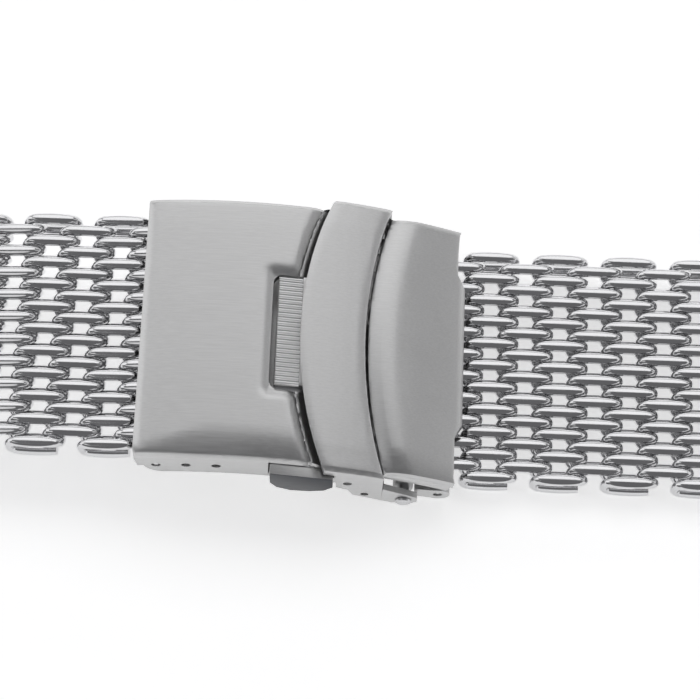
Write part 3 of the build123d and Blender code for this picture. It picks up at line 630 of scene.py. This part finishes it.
def grown(tree, name, **values):
    """The plain mesh that a tree makes when its named inputs have these values."""
    holder = linked(name, bpy.data.meshes.new(name))
    modifier = holder.modifiers.new("tree", "NODES")
    modifier.node_group = tree
    for item in tree.interface.items_tree:
        key = item.name.replace(" ", "_")
        if item.in_out == "INPUT" and key in values:
            modifier[item.identifier] = values[key]
    holder.update_tag()
    evaluated = holder.evaluated_get(bpy.context.evaluated_depsgraph_get())
    mesh = bpy.data.meshes.new_from_object(evaluated)
    bpy.data.objects.remove(holder)
    mesh.set_sharp_from_angle(angle=HARD_EDGE)
    return mesh


leg = hypot(2 * CORNER_HIGH, PITCH / 2)
full_coil = grown(
    winding,
    "full_coil",
    Corners=4 * TURNS + 2,
    Trim=(LOOP_HALF - LOOP_CLEAR) * MM,
    Material=wire_polish,
)
inner_coil = grown(
    winding,
    "inner_coil",
    Corners=4 * TURNS - 4,
    First_corner=1,
    Shift=PITCH / 2 * MM,
    Trim=leg / 2 * MM,
    Material=wire_polish,
)
print("faces of a coil", len(full_coil.polygons), len(inner_coil.polygons))

# %% [markdown]
# Each coil hinges on its neighbours halfway between their middles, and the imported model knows
# those hinge lines. Reading a coil's place and slope from them keeps picture and model together:
# the middle of a coil lies half a column before the next hinge line.


# %% Lay the coils
def coil_place(half, count):
    """The middle of a coil and its slope about Y, from the hinge lines on either side of it."""
    outward = -1 if half == "left" else 1
    here = Vector(joints[f"{half}_mesh_{count:02d}"]["pos_m"])
    step = Vector((outward, 0, 0))
    if count < COILS:
        step = (Vector(joints[f"{half}_mesh_{count + 1:02d}"]["pos_m"]) - here).normalized()
    reach = (COLUMN / 2 if count > 1 else BAR_TO_MIDDLE) * MM
    along = step * outward
    return here + step * reach, atan2(-along.z, along.x)


def stand_for(piece, node):
    """Lets a piece move with a node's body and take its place."""
    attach(piece, body_of[node])
    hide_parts(node)


for half in ("left", "right"):
    for count in range(1, COILS + 1):
        node = f"{half}_coil_{count:02d}"
        middle, slope = coil_place(half, count)
        mesh = (inner_coil if count % 2 else full_coil).copy()
        mesh.transform(Matrix.Translation(middle) @ Matrix.Rotation(slope, 4, "Y"))
        stand_for(linked(f"wound_{node}", mesh), node)
print("coils", 2 * COILS)

# %% [markdown]
# ## Sheet parts of the clasp
#
# The clasp's cover, bow, blades and end pieces are pressed and cut from sheet. Their outlines are
# in the model already, so each is a copy of its solid. The copy is merged into whole faces and
# sliced into a fine grid, and a press then moves the grid: a small function that says how far
# each point of the top sinks. It rolls the rims and softens the shoulders as a press tool does. A
# fine bevel on what is still sharp catches the light along every edge.

# %% Merge, slice and press a copy of a solid
MERGED = 0.001 * MM
SLICED = 0.0005 * MM
LEVEL = radians(0.3)
BEVEL_STEPS = 3


def sliced(work, slices):
    """Cuts a mesh along planes across an axis; slices are (axis, start, end, step) in millimetres."""
    for axis, start, end, step in slices:
        normal = Vector([float(axis == i) for i in range(3)])
        for i in range(round((end - start) / step) + 1):
            place = normal * (start + i * step) * MM
            whole = work.verts[:] + work.edges[:] + work.faces[:]
            bmesh.ops.bisect_plane(work, geom=whole, dist=SLICED, plane_co=place, plane_no=normal)


def eased(piece, edge, sharp):
    """The piece's mesh with its sharp edges eased by a fine bevel."""
    bevel = piece.modifiers.new("eased", "BEVEL")
    bevel.width = edge * MM
    bevel.segments = BEVEL_STEPS
    bevel.limit_method = "ANGLE"
    bevel.angle_limit = radians(sharp)
    bevel.harden_normals = True
    evaluated = piece.evaluated_get(bpy.context.evaluated_depsgraph_get())
    finished = bpy.data.meshes.new_from_object(evaluated)
    piece.modifiers.clear()
    return finished


def sheet_copy(
    node, name, slices=(), press=None, edge=0.08, sharp=28, material=satin
):
    """A copy of a node with pressed shapes and eased edges; edge in mm, sharp in degrees."""
    work = bmesh.new()
    work.from_mesh(frame["nodes"][node].data)
    bmesh.ops.remove_doubles(work, verts=work.verts, dist=MERGED)
    bmesh.ops.dissolve_limit(work, angle_limit=LEVEL, verts=work.verts, edges=work.edges)
    sliced(work, slices)
    if press:
        for vert in work.verts:
            vert.co = press(vert.co)
    mesh = bpy.data.meshes.new(name)
    work.to_mesh(mesh)
    work.free()
    mesh.materials.append(material)
    mesh.polygons.foreach_set("use_smooth", [True] * len(mesh.polygons))
    piece = linked(name, mesh)
    piece.data = eased(piece, edge, sharp)
    stand_for(piece, node)
    print(name, len(piece.data.polygons), "faces")
    return piece


# %% [markdown]
# The cover's press: its front and back shoulders fall away softly, the left edge is rolled down,
# a shallow roll runs round the notch for the thumb and along the seat of the bow, and the crown
# swells up from its left edge. Every rule is a distance to an edge and a drop that fades out with
# that distance. Arcs along the width give the edges of the seat and of the crown.

# %% Press rules of the cover
NOTCH = (4.7, 8.5, -5.45, 5.25)  # the notch's left, right, front and back
LEFT_END, RIGHT_END = -6.65, 20.9
SEAT_RIM = (9.0, 6.5)  # x of the seat's edge at the sides and in the middle
CROWN_EDGE = (15.05, 13.1)  # the same of the crown's edge
COVER_HALF, BOW_HALF = 12.0, 12.65  # half the widths of cover and bow
CROWN_HALF = 11.85
CROWN_RISE = 0.78
SHOULDER_DROP, SHOULDER_EDGE = 0.2, 0.4  # of the solid's own shoulders
FRONT_DEEP, FRONT_NARROW, FRONT_WIDENS = 0.5, 1.2, 2.2  # the soft front shoulder
EDGE_DEEP, EDGE_WIDE = 0.22, 0.45  # the rounded front and back edges
LEFT_DEEP, LEFT_WIDE = 0.20, 0.8  # the rolled left edge
ROLL_DEEP, ROLL_WIDE = 0.34, 1.0  # the rolls towards the notch and the seat
CROWN_SWELL, CROWN_FRONT = 2.7, 2.4  # how wide the crown's left and front slopes are
CROWN_EDGE_DEEP, CROWN_EDGE_WIDE = 0.12, 0.6


def fade(distance, width):
    """1 at an edge, falling smoothly to 0 at a width away from it."""
    share = min(max(distance / width, 0.0), 1.0)
    return (1 - share) ** 2


def ease(value):
    """A soft step from 0 to 1."""
    value = min(max(value, 0.0), 1.0)
    return value * value * (3 - 2 * value)


def bowed_x(ends, y):
    """X of an edge that is an arc along the width: its x at the bow's sides and in the middle."""
    sag = ends[0] - ends[1]
    bend = (BOW_HALF**2 + sag**2) / (2 * sag)
    return ends[1] + bend - sqrt(bend**2 - y**2)


def shoulder(y, half, width):
    """How far the solid's own shoulder lies below its top: a gentle slope, then a steep edge."""
    if y < half - SHOULDER_EDGE:
        return SHOULDER_DROP * max(y - half + width, 0) / (width - SHOULDER_EDGE)
    return SHOULDER_DROP + y - half + SHOULDER_EDGE


def notch_distance(x, y):
    """Distance from the outline of the notch, outside it."""
    aside = max(NOTCH[0] - x, x - NOTCH[1], 0.0)
    along = max(NOTCH[2] - y, y - NOTCH[3], 0.0)
    return hypot(aside, along)


def cover_drop(x, y):
    """How far the press lowers the cover's top at a point, in millimetres."""
    front_width = FRONT_NARROW + FRONT_WIDENS * ease((x - LEFT_END) / 7)
    front = FRONT_DEEP * fade(COVER_HALF + y, front_width) ** 1.25
    own = 0.9 * shoulder(abs(y), COVER_HALF, 2.2)
    edges = EDGE_DEEP * fade(COVER_HALF - abs(y), EDGE_WIDE)
    return front - own + edges + LEFT_DEEP * fade(x - LEFT_END, LEFT_WIDE)


def rim_drop(x, y):
    """How far the top rolls down towards the notch and towards the seat of the bow."""
    to_notch = ROLL_DEEP * fade(notch_distance(x, y), ROLL_WIDE)
    return to_notch + ROLL_DEEP * fade(bowed_x(SEAT_RIM, y) - x, ROLL_WIDE)


def crown_radius(x, y, inside):
    """How far from the clasp's axis the crown's top lies, `inside` its left edge."""
    radius = BEND + CROWN_RISE * (1 - fade(max(inside, 0), CROWN_SWELL))
    front = ROLL_DEEP * fade(CROWN_HALF + y, CROWN_FRONT)
    back = CROWN_EDGE_DEEP * fade(CROWN_HALF - y, CROWN_EDGE_WIDE)
    end = CROWN_EDGE_DEEP * fade(RIGHT_END + 0.7 - x, CROWN_EDGE_WIDE)
    return radius - (front + back + end)


# %% [markdown]
# The press itself asks where a point of the copy lies. Points inside the sheet, on the walls and
# on the underside stay. On the crown the top is set to its own curve, in the seat it is sunk to a
# floor for the bow, and elsewhere it drops by the rules above. The named radii, measured from the
# clasp's axis, tell those places apart.

# %% The cover's press
INSIDE, INSIDE_AT_SHOULDERS, SHOULDERS = 41.6, 41.85, 9.7
SEAT_LOW, SEAT_HIGH = 41.95, 42.25
CROWN_LOW, HOLLOW_HIGH = 42.4, 42.6
HOLLOW_FROM, HOLLOW_HALF = 15.2, 11.8
NEAR = 0.03


def cover_press(place):
    """Where the press puts a point of the cover's copy."""
    x, y, z = place.x / MM - AXIS_X, place.y / MM, place.z / MM - AXIS_Z
    radius = hypot(x, z)
    if radius < INSIDE or abs(y) > COVER_HALF + 0.001:
        return place
    if radius < INSIDE_AT_SHOULDERS and abs(y) > SHOULDERS:
        return place
    rise = -cover_drop(x, y)
    seat = bowed_x(SEAT_RIM, y)
    crown = x - bowed_x(CROWN_EDGE, y)
    if crown > -NEAR:
        over_hollow = x > HOLLOW_FROM and abs(y) < HOLLOW_HALF
        on_top = radius > (HOLLOW_HIGH if over_hollow else CROWN_LOW)
        rise = crown_radius(x, y, crown) - radius if on_top else 0.0
    elif x > seat - NEAR and SEAT_LOW < radius < SEAT_HIGH:
        rise = -0.02 - ROLL_DEEP * ease((x - seat) / 0.9)
    elif x < seat + 0.1:
        rise -= rim_drop(x, y)
    scale = (radius + rise) / radius
    return at(x * scale, y, z * scale)


cover_slices = [(0, -14.5, 13.9, 0.35), (1, -12.0, 12.0, 0.3)]
sheet_copy("cover", "pressed_cover", cover_slices, cover_press, edge=0.07)

# %% [markdown]
# The bow is a narrower band with the same soft shoulders. Both of its long edges are rolled down
# a little. Its thumb piece has ribs that stand across the finger: they repeat, so a second tree
# makes them, one rounded bar set again and again along the width.

# %% Press rules of the bow
BOW_LEFT = (9.7, 7.2)  # x of the bow's left edge at its ends and in the middle
BOW_RIGHT = (14.8, 12.85)
BOW_TOP, BOW_TOP_AT_ENDS, BOW_ENDS = 42.6, 42.47, 12.2


def bow_press(place):
    """Where the press puts a point of the bow's copy."""
    x, y, z = place.x / MM - AXIS_X, place.y / MM, place.z / MM - AXIS_Z
    radius = hypot(x, z)
    edge_gap = min(x - bowed_x(BOW_LEFT, y), bowed_x(BOW_RIGHT, y) - x)
    on_top = radius > BOW_TOP or radius > BOW_TOP_AT_ENDS and abs(y) > BOW_ENDS
    long_edges = 0.10 * fade(edge_gap, 0.7)
    own = 0.8 * shoulder(abs(y), BOW_HALF, 2.4)
    drop = long_edges - own + 0.15 * fade(BOW_HALF - abs(y), 0.5)
    scale = (radius - drop * on_top) / radius
    return at(x * scale, y, z * scale)


bow_slices = [(0, -1.5, 7.9, 0.35), (1, -12.6, 12.6, 0.42)]
sheet_copy("safety_bow", "pressed_bow", bow_slices, bow_press, edge=0.09)

# %% [markdown]
# The ribs' tree is short: a line of points along the width, a thin cylinder set on each, all
# turned to lie across. Only the tops of the cylinders stand clear of the thumb piece, as rolled
# ribs do.

# %% The tree that sets ribs in a row
ribbing, given, wanted = new_group(
    "thumb_ribs",
    "GeometryNodeTree",
    [
        ("Ribs", INT, 24),
        ("Pitch", FLOAT, 0.42 * MM),
        ("Length", FLOAT, 2.9 * MM),
        ("Radius", FLOAT, 0.165 * MM),
        ("Middle", VECTOR, tuple(at(6.63, 0, 41.69))),
        ("Tilt", FLOAT, 0.157),
        ("Material", "NodeSocketMaterial", None),
    ],
    GEOMETRY,
)
take = given.outputs
t = Tree(ribbing)
next_rib = t.add("ShaderNodeCombineXYZ", Y=take["Pitch"]).outputs[0]
row = t.add("GeometryNodeMeshLine", Count=take["Ribs"], Offset=next_rib)
to_first = t.math("MULTIPLY", take["Pitch"], -0.5)
half_row = t.math("MULTIPLY", t.math("SUBTRACT", take["Ribs"], 1.0), to_first)
first = t.add("ShaderNodeCombineXYZ", Y=half_row).outputs[0]
t.feed(row.inputs["Start Location"], t.vector("ADD", take["Middle"], first))
rib = t.add("GeometryNodeMeshCylinder", Vertices=10, Radius=take["Radius"], Depth=take["Length"])
turned = t.add("ShaderNodeCombineXYZ", Y=t.math("ADD", take["Tilt"], pi / 2))
bars = t.add("GeometryNodeInstanceOnPoints", Points=row.outputs[0])
t.feed(bars.inputs["Instance"], rib.outputs["Mesh"])
t.feed(bars.inputs["Rotation"], turned.outputs[0])
t.paint(bars.outputs[0], take["Material"], wanted)

rib_mesh = grown(ribbing, "thumb_ribs", Material=rib_finish)
ribs = linked("thumb_ribs", rib_mesh)
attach(ribs, body_of["safety_bow"])
print("ribs", len(rib_mesh.polygons), "faces")

# %% [markdown]
# The blades, the bracket and the end pieces are flat sheet and need no press, only eased edges.
# The button's outer face is set back between the cover's wall and the bow's arm and looks into the
# dark front of the room, so its front faces get a near-black steel: painted shade and painted dark
# reflection, darker than the button's own steel.

# %% The other sheet parts
button = sheet_copy("button_front", "side_button", edge=0.12, sharp=40)
button.data.materials.append(painted_shade_face)
# Faces turned to the front take the painted shade.
for face in button.data.polygons:
    if face.normal.y < -0.5:
        face.material_index = 1
sheet_copy("lower_blade", "eased_lower_blade")
sheet_copy("upper_blade", "eased_upper_blade")
sheet_copy("left_end_piece", "eased_left_end", edge=0.15)
sheet_copy("right_end_piece", "eased_right_end", edge=0.15)
sheet_copy("catch_bracket", "eased_bracket", edge=0.04, material=ringed)

# %% [markdown]
# ## Turned parts
#
# Rivets, pins, bar tubes and tips come off a lathe, and so do these: one helper takes the outline
# of a part as pairs of height and radius, turns it about its axis, points its faces outwards and
# keeps its hard corners sharp. Where each stands is read from its solid's box.

# %% A lathe
ROUND = 32
CORNER = radians(32)


def turned_part(name, node, outline, axis="Y", closed=False):
    """A part turned about an axis through the middle of its solid's box; outline in mm."""
    low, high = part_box(node)
    middle = [(a + b) / 2 for a, b in zip(low, high)]
    points = []
    for along, radius in outline:
        for i in range(ROUND):
            u, v = radius * cos(2 * pi * i / ROUND) * MM, radius * sin(2 * pi * i / ROUND) * MM
            if axis == "Y":
                points.append((middle[0] + v, along * MM, middle[2] + u))
            else:
                points.append((middle[0] + u, middle[1] + v, along * MM))
    faces = ring_faces(len(outline), ROUND, closed)
    if not closed:
        faces += [tuple(reversed(range(ROUND))), tuple(range(len(points) - ROUND, len(points)))]
    piece = new_piece(name, points, faces, ringed)
    work = bmesh.new()
    work.from_mesh(piece.data)
    bmesh.ops.recalc_face_normals(work, faces=work.faces)
    work.to_mesh(piece.data)
    work.free()
    piece.data.set_sharp_from_angle(angle=CORNER)
    return piece


def span(node, axis=1):
    """Where a node's box starts and ends along an axis, in millimetres."""
    low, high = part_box(node)
    return low[axis] / MM, high[axis] / MM


# %% [markdown]
# The rivets on which the bow turns are set by a hammer that leaves a low dome. The pins have a
# narrow bevel at each end, and the stud has a wide head for the button's hook to grip.

# %% Rivets, pins and stud
RIVET = 0.5  # radius of the rivet's shank
RIVET_HEAD = 0.7
RIVET_IN, RIVET_SEAT, RIVET_FACE = 10.6, 12.7, 12.83  # from the middle of the clasp
DOME_HIGH, DOME_STEPS = 0.22, 5
PIN, PIN_BEVEL = 0.5, 0.12
STUD, STUD_HEAD, HEAD_HIGH = 0.6, 1.3, 0.45


def dome(base, height, radius, sign):
    """Outline of a low dome that stands on a base; its tip is a point's width across."""
    outline = []
    for i in range(DOME_STEPS + 1):
        turn = pi / 2 * i / DOME_STEPS
        outline.append((sign * (base + height * sin(turn)), max(radius * cos(turn), 0.02)))
    return outline


for sign, side in ((-1, "front"), (1, "back")):
    outline = [(sign * RIVET_IN, RIVET), (sign * RIVET_SEAT, RIVET), (sign * RIVET_SEAT, RIVET_HEAD)]
    outline += dome(RIVET_FACE, DOME_HIGH, RIVET_HEAD, sign)
    stand_for(turned_part(f"rivet_{side}", "bow_rivets", outline), "bow_rivets")

for node in ("fold_pin_cover", "fold_pin_blades"):
    start, end = span(node)
    outline = [(start, PIN - PIN_BEVEL), (start + PIN_BEVEL, PIN)]
    outline += [(end - PIN_BEVEL, PIN), (end, PIN - PIN_BEVEL)]
    stand_for(turned_part(f"turned_{node}", node, outline), node)

foot, top = span("latch_stud", 2)
under = top - HEAD_HIGH
outline = [(foot, STUD), (under, STUD), (under, STUD_HEAD - 0.1), (under + 0.08, STUD_HEAD)]
outline += [(top - PIN_BEVEL, STUD_HEAD), (top, STUD_HEAD - 0.2), (top, 0.4)]
stand_for(turned_part("turned_stud", "latch_stud", outline, "Z"), "latch_stud")
finished = [piece.name for piece in bpy.data.objects if piece.name.startswith(("rivet_", "turned_"))]
print("rivets, pins and stud", finished)

# %% [markdown]
# Four sprung bars hold the strap: one in the adjusting holes, one at the clasp's end, one at each
# lug. All are one design in two sizes: a tube crimped at both ends, two tips with a collar that
# the crimp keeps in, and a spring between them. The tube's outline is a closed ring, so that it
# is truly hollow.

# %% Sprung bars: tubes and tips
THIN = (0.52, 0.41, 0.38, 0.32, 0.32)
THICK = (0.75, 0.52, 0.48, 0.34, 0.40)
CRIMP, CRIMP_SLOPE, CRIMP_DEEP = 0.35, 0.1, 0.07
TUBE_BEVEL = (0.12, 0.1)  # along the tube and off its radius
COLLAR_LONG, COLLAR_BEVEL = 1.2, 0.06
NOSE = ((0.18, 1.0), (0.06, 0.8), (0.0, 0.45))  # back from the tip's end, share of its radius

bars = {"adjust_bar": THIN, "end_bar": THIN, "left_lug_bar": THICK, "right_lug_bar": THICK}
for bar, (outer, bore, collar, neck, tip) in bars.items():
    start, end = span(f"{bar}_tube")
    half = (end - start) / 2
    crimp = half - CRIMP
    mouth = bore - CRIMP_DEEP
    along, off = TUBE_BEVEL
    shell = [(-half, mouth), (-half, outer - off), (-half + along, outer)]
    shell += [(half - along, outer), (half, outer - off), (half, mouth), (crimp, mouth)]
    shell += [(crimp - CRIMP_SLOPE, bore), (-crimp + CRIMP_SLOPE, bore), (-crimp, mouth)]
    tube = turned_part(f"turned_{bar}_tube", f"{bar}_tube", shell, closed=True)
    stand_for(tube, f"{bar}_tube")
    for side, sign in (("back", 1), ("front", -1)):
        node = f"{bar}_tip_{side}"
        reach = max(abs(value) for value in span(node))
        inner = min(abs(value) for value in span(node))
        shape = [(inner, collar - COLLAR_BEVEL), (inner + COLLAR_BEVEL, collar)]
        shape += [(inner + COLLAR_LONG, collar), (inner + COLLAR_LONG, neck)]
        shape += [(half + 0.1, neck), (half + 0.1, tip)]
        shape += [(reach - back, tip * share) for back, share in NOSE]
        outline = [(sign * place, radius) for place, radius in shape]
        stand_for(turned_part(f"turned_{node}", node, outline), node)

# %% [markdown]
# ## Springs
#
# A spring is a wire on a helix, the plainest rule of all. The third tree takes the spiral that
# Blender offers, gives it thickness, and lays it along the strap's width.

# %% The tree that coils a spring
coiling, given, wanted = new_group(
    "coil_spring",
    "GeometryNodeTree",
    [
        ("Turns", FLOAT, 20.0),
        ("Radius", FLOAT, 0.3 * MM),
        ("Wire radius", FLOAT, 0.06 * MM),
        ("Length", FLOAT, 10 * MM),
        ("Material", "NodeSocketMaterial", None),
    ],
    GEOMETRY,
)
take = given.outputs
t = Tree(coiling)
helix = t.add("GeometryNodeCurveSpiral", Resolution=14, Rotations=take["Turns"])
t.feed(helix.inputs["Height"], take["Length"])
t.feed(helix.inputs["Start Radius"], take["Radius"])
t.feed(helix.inputs["End Radius"], take["Radius"])
profile = t.add("GeometryNodeCurvePrimitiveCircle", {"mode": "RADIUS"}, Resolution=7)
t.feed(profile.inputs["Radius"], take["Wire radius"])
wire = t.add("GeometryNodeCurveToMesh", Curve=helix.outputs[0], Fill_Caps=True)
t.feed(wire.inputs["Profile Curve"], profile.outputs[0])
laid = t.add("GeometryNodeTransform", Geometry=wire.outputs[0])
laid.inputs["Rotation"].default_value = (-pi / 2, 0, 0)
t.paint(laid.outputs[0], take["Material"], wanted)

# %% [markdown]
# The springs can't squeeze here, as they would on the real strap. So each is drawn as short as it
# is when its tip, or the button, is pushed right in. They are out of sight in their tubes anyway.

# %% Place the springs
PUSH, SLIDE = 0.75 * MM, 1.25 * MM
WIRE_SHARE = 0.16  # half the wire's thickness, as a share of the spring's radius
SPACING = 3.4  # from turn to turn, in halves of the wire's thickness
CLEAR = 1.1

springs = [node for node in frame["nodes"] if "spring" in node]
for node in springs:
    low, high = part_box(node)
    if node == "button_spring_front":
        start, end = low[1] + PUSH, high[1]
    else:
        start, end = low[1] + SLIDE, high[1] - SLIDE
    length = end - start
    outer = (high[2] - low[2]) / 2
    thick = outer * WIRE_SHARE
    mesh = grown(
        coiling,
        f"coiled_{node}",
        Turns=length / (thick * SPACING),
        Radius=outer - thick * CLEAR,
        Wire_radius=thick,
        Length=length - 2 * thick,
        Material=spring_finish,
    )
    place = ((low[0] + high[0]) / 2, start + thick, (low[2] + high[2]) / 2)
    mesh.transform(Matrix.Translation(place))
    stand_for(linked(f"coiled_{node}", mesh), node)
print("springs", len(springs))
